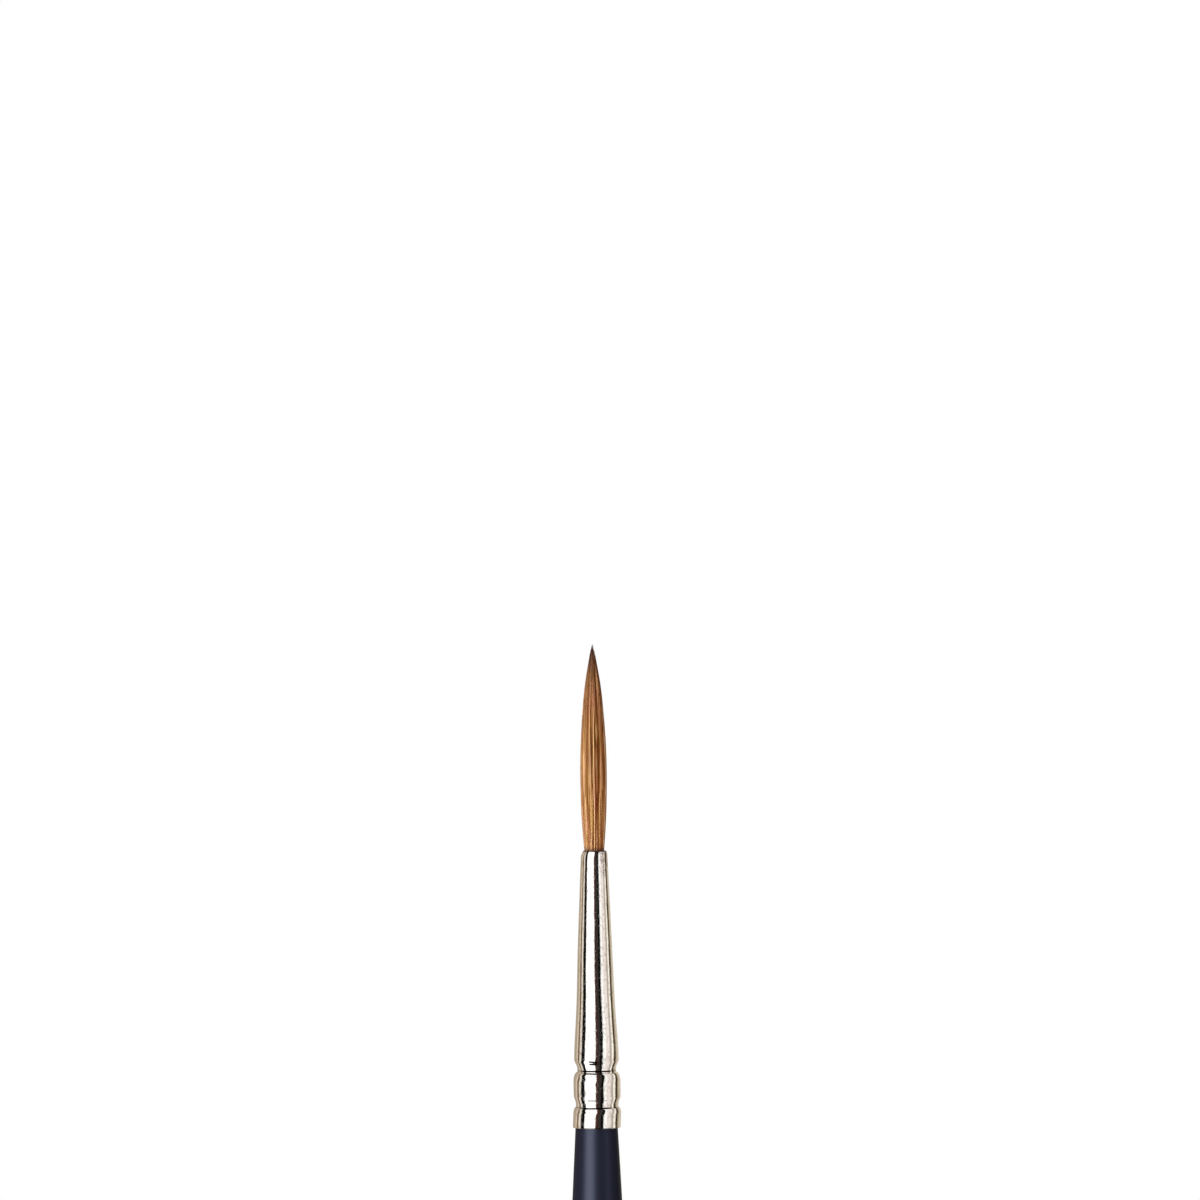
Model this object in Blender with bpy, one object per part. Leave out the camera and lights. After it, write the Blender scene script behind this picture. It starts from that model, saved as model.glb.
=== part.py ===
"""A fine detail brush: a pointed round hair brush in a crimped ferrule on a lacquered handle.

Metres, +Z up. The brush stands on its butt end with its point up, and the origin is the
middle of the flat at the butt. Every piece is turned round Z except the binding thread.
"""

import math

import bmesh
import bpy

MM = 0.001

# Driving lengths along the brush
HANDLE_LENGTH = 140.0 * MM
FERRULE_LENGTH = 34.6 * MM
HAIR_LENGTH = 25.9 * MM

# Walls, films and the running gap left between neighbours
FERRULE_WALL = 0.25 * MM
LACQUER_THICKNESS = 0.12 * MM
GLUE_SPACE = 0.20 * MM
GAP = 0.05 * MM

# Handle, as (height above the butt, radius)
BUTT_FLAT_RADIUS = 1.00 * MM
BUTT_ROUNDING_HEIGHT = 1.3 * MM
HANDLE_STATIONS = (
    (1.3 * MM, 1.56 * MM),
    (10.0 * MM, 1.72 * MM),
    (28.0 * MM, 2.08 * MM),
    (50.0 * MM, 2.66 * MM),
    (72.0 * MM, 3.32 * MM),
    (90.0 * MM, 3.75 * MM),
    (103.0 * MM, 3.86 * MM),
    (113.0 * MM, 3.76 * MM),
    (122.0 * MM, 3.50 * MM),
    (131.0 * MM, 3.11 * MM),
    (140.0 * MM, 2.65 * MM),
)
LACQUER_IN_FERRULE = 1.4 * MM

# Ferrule, with heights above its lower rim. A crimp is rolled in as a round shoulder that
# drops to a sharp corner, a plain floor, and an eased return to the surface above.
RIM_RADIUS = 2.99 * MM
RIM_ROUNDING = 0.10 * MM
BARREL_RADIUS = 2.94 * MM
LOWER_CRIMP_HEIGHTS = (1.80 * MM, 2.50 * MM, 3.00 * MM, 4.05 * MM)
LOWER_CRIMP_FLOOR = 2.63 * MM
UPPER_CRIMP_HEIGHTS = (5.75 * MM, 6.93 * MM, 7.52 * MM, 8.55 * MM)
UPPER_CRIMP_FLOOR = 2.42 * MM
CONE_STATIONS = (
    (8.55 * MM, 2.79 * MM),
    (10.4 * MM, 2.72 * MM),
    (15.7 * MM, 2.42 * MM),
    (21.7 * MM, 2.18 * MM),
    (27.7 * MM, 1.95 * MM),
    (33.0 * MM, 1.70 * MM),
)
MOUTH_START = 34.15 * MM
MOUTH_RADIUS = 1.64 * MM
MOUTH_EDGE_RADIUS = 1.38 * MM
BORE_AT_MOUTH = 1.29 * MM

# What the ferrule holds, with heights above its lower rim
TENON_START = 1.7 * MM
TENON_END = 14.2 * MM
GLUE_START = 1.8 * MM
GLUE_END = 13.6 * MM
PLUG_START = 20.5 * MM
PLUG_END = 27.6 * MM
ROOT_START = 22.0 * MM
ROOT_RADIUS = 1.42 * MM
WAIST_START = 24.6 * MM
WAIST_END = 26.8 * MM
WAIST_RADIUS = 1.12 * MM
ROOT_TOP_BELOW_MOUTH = 0.7 * MM
ROOT_TOP_RADIUS = 1.22 * MM

# Binding thread
THREAD_RADIUS = 0.10 * MM
THREAD_PITCH = 0.30 * MM
THREAD_TURNS = 5
THREAD_STEPS_PER_TURN = 15

# Tuft, with heights above the ferrule's mouth
PIVOT_HEIGHT = 1.0 * MM
TUFT_STATIONS = (
    (1.0 * MM, 1.31 * MM),
    (2.8 * MM, 1.43 * MM),
    (5.3 * MM, 1.56 * MM),
    (9.4 * MM, 1.64 * MM),
    (12.8 * MM, 1.58 * MM),
    (15.8 * MM, 1.42 * MM),
    (18.8 * MM, 1.21 * MM),
    (21.1 * MM, 0.93 * MM),
    (23.3 * MM, 0.56 * MM),
    (24.9 * MM, 0.26 * MM),
    (25.9 * MM, 0.0),
)
BELLY_TOP = 15.8 * MM
BELLY_EDGE = 0.14 * MM
CORE_RADIUS = 0.80 * MM
CORE_START = 1.8 * MM
CORE_SWELL_START = 9.4 * MM

# Mesh fineness
SIDES = 28
STEPS_PER_SPAN = 2
CRIMP_STEPS = 3
ROUNDING_STEPS = 3
DOME_STEPS = 5
MERGE_DISTANCE = 1e-7
SHARP_ANGLE = math.radians(40.0)

FERRULE_MOUTH = HANDLE_LENGTH + FERRULE_LENGTH
PIVOT = FERRULE_MOUTH + PIVOT_HEIGHT


def ease(share):
    """A half cosine from 0 to 1."""
    return 0.5 - 0.5 * math.cos(math.pi * share)


def between(before, start, end, after, share):
    """One number on a Catmull-Rom span."""
    linear = (end - before) * share
    square = (2.0 * before - 5.0 * start + 4.0 * end - after) * share ** 2
    cube = (3.0 * start - before - 3.0 * end + after) * share ** 3
    return start + 0.5 * (linear + square + cube)


def extended(first, second):
    """The point as far beyond the first as the second is before it."""
    return tuple(2.0 * a - b for a, b in zip(first, second))


def smooth_curve(stations, steps=STEPS_PER_SPAN):
    """Points on a Catmull-Rom curve through the stations."""
    knots = [extended(stations[0], stations[1]), *stations, extended(stations[-1], stations[-2])]
    points = []
    for span in zip(knots, knots[1:], knots[2:], knots[3:]):
        for step in range(steps):
            points.append(tuple(between(*numbers, step / steps) for numbers in zip(*span)))
    points.append(stations[-1])
    return points


def radius_at(line, height):
    """The radius of a line of (height, radius) points at one height."""
    for (low, low_radius), (high, high_radius) in zip(line, line[1:]):
        if low <= height <= high:
            share = (height - low) / (high - low)
            return low_radius + share * (high_radius - low_radius)
    raise ValueError("height outside the line")


def part_of_line(line, low, high):
    """The stretch of a line between two heights, with a point at each end."""
    middle = [point for point in line if low < point[0] < high]
    return [(low, radius_at(line, low))] + middle + [(high, radius_at(line, high))]


def shrink(line, distance):
    """The line moved towards the axis."""
    return [(height, radius - distance) for height, radius in line]


def raise_by(line, distance):
    """The line moved up the axis."""
    return [(height + distance, radius) for height, radius in line]


def crimp(heights, radius_below, floor_radius, radius_above):
    """A round shoulder down to a sharp corner, the floor, and an eased return."""
    shoulder, corner, floor_end, top = heights
    points = []
    for step in range(CRIMP_STEPS + 1):
        angle = 0.5 * math.pi * step / CRIMP_STEPS
        height = shoulder + (corner - shoulder) * math.sin(angle)
        points.append((height, floor_radius + (radius_below - floor_radius) * math.cos(angle)))
    for step in range(CRIMP_STEPS + 1):
        share = step / CRIMP_STEPS
        radius = floor_radius + (radius_above - floor_radius) * ease(share)
        points.append((floor_end + (top - floor_end) * share, radius))
    return points


def handle_line():
    """The handle's finished surface from the butt's flat to the ferrule's rim."""
    rounding = []
    for step in range(ROUNDING_STEPS):
        angle = 0.5 * math.pi * step / ROUNDING_STEPS
        reach = HANDLE_STATIONS[0][1] - BUTT_FLAT_RADIUS
        height = BUTT_ROUNDING_HEIGHT * (1.0 - math.cos(angle))
        rounding.append((height, BUTT_FLAT_RADIUS + reach * math.sin(angle)))
    return rounding + smooth_curve(HANDLE_STATIONS)


def ferrule_line():
    """The ferrule's outer surface from its lower rim to the edge of its mouth."""
    line = [(0.0, RIM_RADIUS - RIM_ROUNDING), (RIM_ROUNDING, RIM_RADIUS)]
    line += crimp(LOWER_CRIMP_HEIGHTS, RIM_RADIUS, LOWER_CRIMP_FLOOR, BARREL_RADIUS)
    line += crimp(UPPER_CRIMP_HEIGHTS, BARREL_RADIUS, UPPER_CRIMP_FLOOR, CONE_STATIONS[0][1])
    line += smooth_curve(CONE_STATIONS, 1)[1:]
    for step in range(ROUNDING_STEPS + 1):
        angle = 0.5 * math.pi * step / ROUNDING_STEPS
        height = MOUTH_START + (FERRULE_LENGTH - MOUTH_START) * math.sin(angle)
        radius = MOUTH_EDGE_RADIUS + (MOUTH_RADIUS - MOUTH_EDGE_RADIUS) * math.cos(angle)
        line.append((height, radius))
    return raise_by(line, HANDLE_LENGTH)


def bore_line():
    """The ferrule's inner surface from its lower rim to its mouth."""
    tube = [point for point in ferrule_line() if point[0] < HANDLE_LENGTH + MOUTH_START]
    line = shrink(tube[1:], FERRULE_WALL)
    rim = (HANDLE_LENGTH, RIM_RADIUS - FERRULE_WALL)
    return [rim] + line + [(FERRULE_MOUTH, BORE_AT_MOUTH)]


def principled(name, colour, roughness, metallic=0.0):
    """A plain Principled material."""
    material = bpy.data.materials.new(name)
    material.use_nodes = True
    shader = material.node_tree.nodes["Principled BSDF"]
    shader.inputs["Base Color"].default_value = (*colour, 1.0)
    shader.inputs["Roughness"].default_value = roughness
    shader.inputs["Metallic"].default_value = metallic
    return material


def empty(name, height, parent=None):
    """A parent for the pieces of one body, with its origin on the axis."""
    holder = bpy.data.objects.new(name, None)
    bpy.context.scene.collection.objects.link(holder)
    holder.parent = parent
    base = parent.location.z if parent else 0.0
    holder.location.z = height - base
    return holder


def turned(name, outline, parent, material, ring=False):
    """Spin (height, radius) points round Z into one closed body on its parent's origin."""
    base = parent.matrix_world.translation.z
    mesh = bpy.data.meshes.new(name)
    body = bmesh.new()
    corners = [body.verts.new((radius, 0.0, height - base)) for height, radius in outline]
    pairs = list(zip(corners, corners[1:]))
    if ring:
        pairs.append((corners[-1], corners[0]))
    edges = [body.edges.new(pair) for pair in pairs]
    bmesh.ops.spin(body, geom=corners + edges, cent=(0.0, 0.0, 0.0), axis=(0.0, 0.0, 1.0),
                   angle=math.tau, steps=SIDES, use_merge=True)
    bmesh.ops.remove_doubles(body, verts=body.verts, dist=MERGE_DISTANCE)
    bmesh.ops.recalc_face_normals(body, faces=body.faces)
    body.to_mesh(mesh)
    body.free()
    mesh.shade_smooth()
    mesh.set_sharp_from_angle(angle=SHARP_ANGLE)
    mesh.materials.append(material)
    piece = bpy.data.objects.new(name, mesh)
    bpy.context.scene.collection.objects.link(piece)
    piece.parent = parent
    return piece


def make_handle_wood(parent):
    """The turned stick, with the tenon that the ferrule is crimped on."""
    skin = LACQUER_THICKNESS + GAP
    stick = shrink(handle_line(), skin)
    stick[0] = (skin, BUTT_FLAT_RADIUS)
    shoulder = HANDLE_LENGTH + LACQUER_IN_FERRULE
    neck = (shoulder, stick[-1][1])
    tenon = part_of_line(shrink(bore_line(), GLUE_SPACE), HANDLE_LENGTH + TENON_START,
                         HANDLE_LENGTH + TENON_END)
    outline = [(skin, 0.0)] + stick + [neck] + tenon + [(tenon[-1][0], 0.0)]
    turned("handle_wood", outline, parent, principled("birch", (0.62, 0.45, 0.27), 0.6))


def make_handle_lacquer(parent):
    """The coat on the stick: closed at the butt, open at the top, where it enters the ferrule."""
    outside = handle_line()
    top = (HANDLE_LENGTH + LACQUER_IN_FERRULE - GAP, outside[-1][1])
    inside = shrink(outside, LACQUER_THICKNESS)
    inside[0] = (LACQUER_THICKNESS, BUTT_FLAT_RADIUS + GAP)
    inner_top = (top[0], inside[-1][1])
    outline = [(0.0, 0.0)] + outside + [top, inner_top] + inside[::-1] + [(LACQUER_THICKNESS, 0.0)]
    turned("handle_lacquer", outline, parent, principled("navy_lacquer", (0.012, 0.018, 0.035), 0.35))


def make_handle_glue(parent):
    """The glue film between the tenon and the ferrule."""
    low = HANDLE_LENGTH + GLUE_START
    high = HANDLE_LENGTH + GLUE_END
    bore = bore_line()
    outside = part_of_line(shrink(bore, GAP), low, high)
    inside = part_of_line(shrink(bore, GLUE_SPACE - GAP), low, high)
    turned("handle_glue", outside + inside[::-1], parent,
           principled("amber_glue", (0.55, 0.36, 0.12), 0.4), ring=True)


def make_ferrule(parent):
    """The drawn tube, open at both ends, with two rolled crimps and an eased mouth."""
    outline = ferrule_line() + bore_line()[::-1]
    turned("ferrule", outline, parent, principled("nickel", (0.78, 0.76, 0.72), 0.12, 1.0), ring=True)


def make_root_plug(parent):
    """The resin cup that locks the hair roots in the ferrule."""
    low = HANDLE_LENGTH + PLUG_START
    high = HANDLE_LENGTH + PLUG_END
    outside = part_of_line(shrink(bore_line(), GAP), low, high)
    pocket = [(HANDLE_LENGTH + ROOT_START - GAP, 0.0),
              (HANDLE_LENGTH + ROOT_START - GAP, ROOT_RADIUS + GAP)]
    mouth = (high, ROOT_RADIUS + GAP)
    outline = [(low, 0.0)] + outside + [mouth] + pocket[::-1]
    turned("root_plug", outline, parent, principled("clear_resin", (0.46, 0.33, 0.16), 0.25))


def make_hair_roots(parent):
    """The bound lower part of the hair bundle, with a waist where the thread grips it."""
    heights = (ROOT_START, WAIST_START - 0.5 * MM, WAIST_START, WAIST_END, WAIST_END + 0.5 * MM)
    radii = (ROOT_RADIUS - 0.08 * MM, ROOT_RADIUS - 0.08 * MM, WAIST_RADIUS, WAIST_RADIUS,
             ROOT_TOP_RADIUS)
    side = raise_by(list(zip(heights, radii)), HANDLE_LENGTH)
    top = FERRULE_MOUTH - ROOT_TOP_BELOW_MOUTH
    outline = [(side[0][0], 0.0)] + side + [(top, ROOT_TOP_RADIUS), (top, 0.0)]
    turned("hair_roots", outline, parent, principled("sable_root", (0.30, 0.16, 0.06), 0.7))


def make_binding_thread(parent):
    """The whipping: one thread wound close round the waist of the roots."""
    winding_radius = WAIST_RADIUS + GAP + THREAD_RADIUS
    winding_height = THREAD_PITCH * THREAD_TURNS
    middle = HANDLE_LENGTH + 0.5 * (WAIST_START + WAIST_END)
    steps = THREAD_TURNS * THREAD_STEPS_PER_TURN
    curve = bpy.data.curves.new("binding_thread", "CURVE")
    curve.dimensions = "3D"
    curve.bevel_depth = THREAD_RADIUS
    curve.bevel_resolution = 1
    curve.use_fill_caps = True
    spline = curve.splines.new("POLY")
    spline.points.add(steps)
    for step in range(steps + 1):
        angle = math.tau * step / THREAD_STEPS_PER_TURN
        height = middle + winding_height * (step / steps - 0.5)
        x = winding_radius * math.cos(angle)
        y = winding_radius * math.sin(angle)
        spline.points[step].co = (x, y, height, 1.0)
    curve.materials.append(principled("linen_thread", (0.72, 0.66, 0.52), 0.8))
    thread = bpy.data.objects.new("binding_thread", curve)
    bpy.context.scene.collection.objects.link(thread)
    thread.parent = parent


def core_swell(tuft):
    """The core's surface under the belly hairs, from its start to the belly's top edge."""
    top_radius = radius_at(tuft, BELLY_TOP) - BELLY_EDGE - GAP
    return [(CORE_START, CORE_RADIUS), (CORE_SWELL_START, CORE_RADIUS), (BELLY_TOP, top_radius)]


def make_belly_hair(parent):
    """The shorter outer hairs: a sleeve on the core, with a round base centred on the pivot."""
    tuft = smooth_curve(TUFT_STATIONS)
    dome_radius = TUFT_STATIONS[0][1]
    dome = []
    for step in range(DOME_STEPS):
        angle = 0.5 * math.pi * step / DOME_STEPS
        dome.append((PIVOT_HEIGHT - dome_radius * math.cos(angle), dome_radius * math.sin(angle)))
    outside = part_of_line(tuft, PIVOT_HEIGHT, BELLY_TOP)
    inside = shrink(core_swell(tuft), -GAP)
    inside[0] = (CORE_START - GAP, inside[0][1])
    line = dome + outside + inside[::-1] + [(inside[0][0], 0.0)]
    turned("belly_hair", raise_by(line, FERRULE_MOUTH), parent,
           principled("sable", (0.42, 0.22, 0.08), 0.55))


def make_point_hair(parent):
    """The long hairs: a slim core under the belly hairs that swells out to make the point."""
    tuft = smooth_curve(TUFT_STATIONS)
    core = core_swell(tuft)
    core[-1] = (BELLY_TOP + GAP, core[-1][1])
    tip = part_of_line(tuft, BELLY_TOP + GAP, HAIR_LENGTH)
    line = [(CORE_START, 0.0)] + core + tip
    turned("point_hair", raise_by(line, FERRULE_MOUTH), parent,
           principled("sable_tip", (0.20, 0.10, 0.05), 0.55))


def main():
    """Clear the scene and make the brush."""
    for old in list(bpy.data.objects):
        bpy.data.objects.remove(old, do_unlink=True)
    handle = empty("handle_frame", 0.0)
    tuft = empty("tuft_pivot", PIVOT, handle)
    bpy.context.view_layer.update()
    make_handle_wood(handle)
    make_handle_lacquer(handle)
    make_handle_glue(handle)
    make_ferrule(handle)
    make_root_plug(handle)
    make_hair_roots(handle)
    make_binding_thread(handle)
    make_belly_hair(tuft)
    make_point_hair(tuft)


main()
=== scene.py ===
"""Looks for the fine detail brush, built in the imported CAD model's frame. Metres, +Z up."""

import math
import random

import bpy
import numpy as np
from mathutils import Matrix, Vector


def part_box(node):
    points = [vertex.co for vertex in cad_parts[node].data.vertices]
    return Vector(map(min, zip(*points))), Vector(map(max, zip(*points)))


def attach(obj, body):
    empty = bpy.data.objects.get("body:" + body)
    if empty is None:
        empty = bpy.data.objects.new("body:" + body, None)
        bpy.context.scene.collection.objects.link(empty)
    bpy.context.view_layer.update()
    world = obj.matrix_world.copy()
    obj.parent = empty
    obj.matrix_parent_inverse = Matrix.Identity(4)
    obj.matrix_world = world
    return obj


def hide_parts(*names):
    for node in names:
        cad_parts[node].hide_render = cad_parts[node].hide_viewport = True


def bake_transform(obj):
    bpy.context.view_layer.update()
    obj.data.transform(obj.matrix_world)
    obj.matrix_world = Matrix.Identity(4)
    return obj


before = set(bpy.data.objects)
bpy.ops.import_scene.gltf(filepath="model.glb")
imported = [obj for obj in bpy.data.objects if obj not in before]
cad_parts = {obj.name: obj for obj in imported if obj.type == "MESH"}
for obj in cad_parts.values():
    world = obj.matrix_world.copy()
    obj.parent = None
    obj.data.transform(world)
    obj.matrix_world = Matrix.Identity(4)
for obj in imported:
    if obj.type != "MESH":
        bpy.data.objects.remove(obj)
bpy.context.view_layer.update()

MM = 0.001

# Heights taken from the CAD nodes
RIM_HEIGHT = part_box("ferrule")[0].z
MOUTH_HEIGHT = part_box("ferrule")[1].z
BUTT_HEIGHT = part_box("handle_lacquer")[0].z

# Ferrule, with heights above its lower rim
FERRULE_WALL = 0.25 * MM
RIM_RADIUS = 2.99 * MM
RIM_ROUNDING = 0.07 * MM
BARREL_RADIUS = 2.94 * MM
LOWER_CRIMP_HEIGHTS = (1.78 * MM, 2.54 * MM, 2.96 * MM, 4.05 * MM)
LOWER_CRIMP_FLOOR = 2.66 * MM
UPPER_CRIMP_HEIGHTS = (5.75 * MM, 6.93 * MM, 7.34 * MM, 8.55 * MM)
UPPER_CRIMP_FLOOR = 2.42 * MM
CONE_STATIONS = (
    (8.55 * MM, 2.79 * MM),
    (10.4 * MM, 2.72 * MM),
    (15.7 * MM, 2.39 * MM),
    (21.7 * MM, 2.18 * MM),
    (27.7 * MM, 1.93 * MM),
    (33.0 * MM, 1.70 * MM),
    (34.15 * MM, 1.64 * MM),
)
# How far crimping has pushed the tube off the axis, to the right (below 0: to the left)
LEAN_HEIGHTS = (0.0 * MM, 1.6 * MM, 4.4 * MM, 8.1 * MM, 14.4 * MM, 22.0 * MM, 34.6 * MM)
LEAN_OFFSETS = (0.02 * MM, 0.09 * MM, 0.11 * MM, 0.06 * MM, 0.03 * MM, -0.01 * MM, -0.01 * MM)
MOUTH_EDGE_RADIUS = 1.38 * MM
BORE_AT_MOUTH = 1.29 * MM
BORE_EDGE = 0.02 * MM
LIP_DEPTH = 0.15 * MM
# The mouth's left corner is worn to a slope, with its radius at two heights above the rim
WORN_CORNER_HEIGHTS = (33.90 * MM, 34.60 * MM)
WORN_CORNER_RADII = (1.68 * MM, 1.34 * MM)

# Tuft, with heights above the ferrule's mouth
TUFT_STATIONS = (
    (-3.0 * MM, 1.18 * MM),
    (-1.0 * MM, 1.19 * MM),
    (0.0 * MM, 1.22 * MM),
    (1.0 * MM, 1.30 * MM),
    (2.8 * MM, 1.43 * MM),
    (5.3 * MM, 1.56 * MM),
    (9.4 * MM, 1.64 * MM),
    (12.8 * MM, 1.58 * MM),
    (15.8 * MM, 1.42 * MM),
    (18.8 * MM, 1.21 * MM),
    (21.1 * MM, 0.93 * MM),
    (23.3 * MM, 0.56 * MM),
    (24.9 * MM, 0.26 * MM),
    (25.9 * MM, 0.0),
)


# ---------------------------------------------------------------- curves and meshes

SHARP_ANGLE = math.radians(50.0)


def held(number):
    """A number held between 0 and 1."""
    return min(1.0, max(0.0, number))


def ease(share):
    """A half cosine from 0 to 1."""
    return 0.5 - 0.5 * math.cos(math.pi * share)


def between(before, start, end, after, share):
    """One number on a Catmull-Rom span."""
    linear = (end - before) * share
    square = (2.0 * before - 5.0 * start + 4.0 * end - after) * share ** 2
    cube = (3.0 * start - before - 3.0 * end + after) * share ** 3
    return start + 0.5 * (linear + square + cube)


def smooth_curve(stations, steps):
    """Points on a Catmull-Rom curve through the stations."""
    first = tuple(2.0 * a - b for a, b in zip(stations[0], stations[1]))
    last = tuple(2.0 * a - b for a, b in zip(stations[-1], stations[-2]))
    knots = [first, *stations, last]
    points = []
    for span in zip(knots, knots[1:], knots[2:], knots[3:]):
        for step in range(steps):
            points.append(tuple(between(*numbers, step / steps) for numbers in zip(*span)))
    points.append(stations[-1])
    return points


def raise_by(line, distance):
    """A line of (height, radius) points moved up the axis."""
    return [(height + distance, radius) for height, radius in line]


def new_piece(name, mesh, body):
    """Put a mesh in the scene as a piece that rides on a body."""
    piece = bpy.data.objects.new(name, mesh)
    bpy.context.scene.collection.objects.link(piece)
    if body:
        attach(piece, body)
    return piece


def turned_mesh(name, line, sides, ring=False, wobble=None):
    """Spin (height, radius) points round Z. A radius of 0 makes a pole."""
    count = len(line)
    vertices = []
    rows = []
    for height, radius in line:
        if radius == 0.0:
            rows.append([len(vertices)] * sides)
            vertices.append((0.0, 0.0, height))
            continue
        rows.append(list(range(len(vertices), len(vertices) + sides)))
        for side in range(sides):
            angle = math.tau * side / sides
            reach = radius + (wobble(angle, height) if wobble else 0.0)
            vertices.append((reach * math.cos(angle), reach * math.sin(angle), height))
    faces = []
    spans = count if ring else count - 1
    for low in range(spans):
        lower = rows[low]
        upper = rows[(low + 1) % count]
        for side in range(sides):
            after = (side + 1) % sides
            loop = [lower[side], lower[after], upper[after], upper[side]]
            corners = [v for place, v in enumerate(loop) if v != loop[place - 1]]
            if len(corners) > 2:
                faces.append(corners)
    mesh = bpy.data.meshes.new(name)
    mesh.from_pydata(vertices, [], faces)
    mesh.validate()
    mesh.shade_smooth()
    return mesh


# ---------------------------------------------------------------- material helpers

def node(tree, kind, settings=(), **inputs):
    """Add a node, set its settings, and set or link its inputs by name or number."""
    made = tree.nodes.new(kind)
    for key, value in dict(settings).items():
        setattr(made, key, value)
    for key, value in inputs.items():
        place = int(key[1:]) if key[0] == "i" and key[1:].isdigit() else key.replace("_", " ")
        socket = made.inputs[place]
        if isinstance(value, bpy.types.NodeSocket):
            tree.links.new(value, socket)
        else:
            socket.default_value = value
    return made


def ramp(tree, factor, stops):
    """A colour ramp with (place, (r, g, b)) stops."""
    made = node(tree, "ShaderNodeValToRGB", Fac=factor)
    elements = made.color_ramp.elements
    places, colours = zip(*stops)
    while len(elements) < len(stops):
        elements.new(0.5)
    for element, place in zip(elements, places):
        element.position = place
    for element, colour in zip(elements, colours):
        element.color = (*colour, 1.0)
    return made.outputs["Color"]


def principled(name, roughness, metallic=0.0):
    """A material with a Principled shader, and its tree."""
    material = bpy.data.materials.new(name)
    material.use_nodes = True
    tree = material.node_tree
    shader = tree.nodes["Principled BSDF"]
    shader.inputs["Roughness"].default_value = roughness
    shader.inputs["Metallic"].default_value = metallic
    return material, tree, shader


def stretched_noise(tree, scale, detail=3.0, stretch=(1.0, 1.0, 1.0), roughness=0.5):
    """Noise in the object's own metres, with scale cells in a metre, stretched along its axes."""
    place = node(tree, "ShaderNodeTexCoord").outputs["Object"]
    mapping = node(tree, "ShaderNodeMapping", Vector=place, Scale=stretch)
    return node(tree, "ShaderNodeTexNoise", Vector=mapping.outputs["Vector"], Scale=scale,
                Detail=detail, Roughness=roughness).outputs["Fac"]


def bump(tree, shader, height, strength, distance, over=None):
    """Feed a height into the shader's normal, over another bump if there is one."""
    made = node(tree, "ShaderNodeBump", Height=height, Strength=strength, Distance=distance)
    if over:
        tree.links.new(over, made.inputs["Normal"])
    tree.links.new(made.outputs["Normal"], shader.inputs["Normal"])
    return made.outputs["Normal"]


def mixed(tree, factor, first, second):
    """Mix two colours."""
    made = tree.nodes.new("ShaderNodeMix")
    made.data_type = "RGBA"
    for socket, value in zip((made.inputs[0], made.inputs[6], made.inputs[7]),
                             (factor, first, second)):
        if isinstance(value, bpy.types.NodeSocket):
            tree.links.new(value, socket)
        else:
            socket.default_value = value
    return made.outputs[2]


def scaled(tree, value, low, high, to_low=0.0, to_high=1.0):
    """A number mapped from one range to another, and held inside it."""
    made = node(tree, "ShaderNodeMapRange", i0=value, i1=low, i2=high, i3=to_low, i4=to_high)
    return made.outputs[0]


def reckon(tree, operation, *values):
    """The result of a maths node."""
    inputs = {f"i{place}": value for place, value in enumerate(values)}
    return node(tree, "ShaderNodeMath", {"operation": operation}, **inputs).outputs[0]


def product(tree, first, second):
    """Two numbers multiplied."""
    return reckon(tree, "MULTIPLY", first, second)


def band(tree, value, low, high, soft):
    """1 where a number is between two limits, with soft edges, and 0 elsewhere."""
    risen = scaled(tree, value, low - soft, low)
    not_fallen = scaled(tree, value, high, high + soft, 1.0, 0.0)
    return product(tree, risen, not_fallen)


# ---------------------------------------------------------------- materials

WORN_LENGTH = 5.0 * MM
WORN_STAINING = 0.30
STAIN_COLOUR = (0.33, 0.26, 0.27, 1.0)
PIT_COLOUR = (0.42, 0.36, 0.32, 1.0)
PIT_STRENGTH = 0.42
PIT_ROUGHNESS = 0.20
DENT_DEPTH = 0.040 * MM
RIPPLE_DEPTH = 0.012 * MM
# The colour of the painted dark lines of reflection and shade round the ferrule
PAINTED_LINE_COLOUR = (0.008, 0.007, 0.006, 1.0)
CREASE_WANDER = 0.03 * MM
CREASE_END = 0.2 * MM
CREASE_FADE_FROM = 0.55 * RIM_RADIUS
CREASE_FADE_TO = 0.65 * RIM_RADIUS
CREASE_AT_SIDES = 0.4

# Painted dark lines round the ferrule: painted reflections of dark along the crimps, painted
# shade along the rim's lower edge and at the mouth, and short dark dashes on the upper crimp.
# Each has its height above its rim, half width, where the line runs from and to across the front
# (None: all the way round), and how dark it is
PAINTED_LINES = (
    (2.55 * MM, 0.075 * MM, None, None, 1.0),
    (7.13 * MM, 0.085 * MM, None, None, 1.0),
    (6.84 * MM, 0.065 * MM, -1.50 * MM, -0.05 * MM, 1.0),
    (3.52 * MM, 0.055 * MM, -0.95 * MM, -0.05 * MM, 0.8),
    (3.52 * MM, 0.045 * MM, 0.80 * MM, 1.30 * MM, 0.4),
    (8.02 * MM, 0.085 * MM, -0.75 * MM, 0.05 * MM, 1.0),
    (8.18 * MM, 0.080 * MM, -0.35 * MM, 0.05 * MM, 0.9),
    (8.34 * MM, 0.080 * MM, -0.80 * MM, 0.05 * MM, 1.0),
    (8.20 * MM, 0.050 * MM, 0.30 * MM, 1.10 * MM, 0.35),
    (0.07 * MM, 0.050 * MM, None, None, 0.7),
    (34.55 * MM, 0.080 * MM, None, None, 0.8),
)


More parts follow.
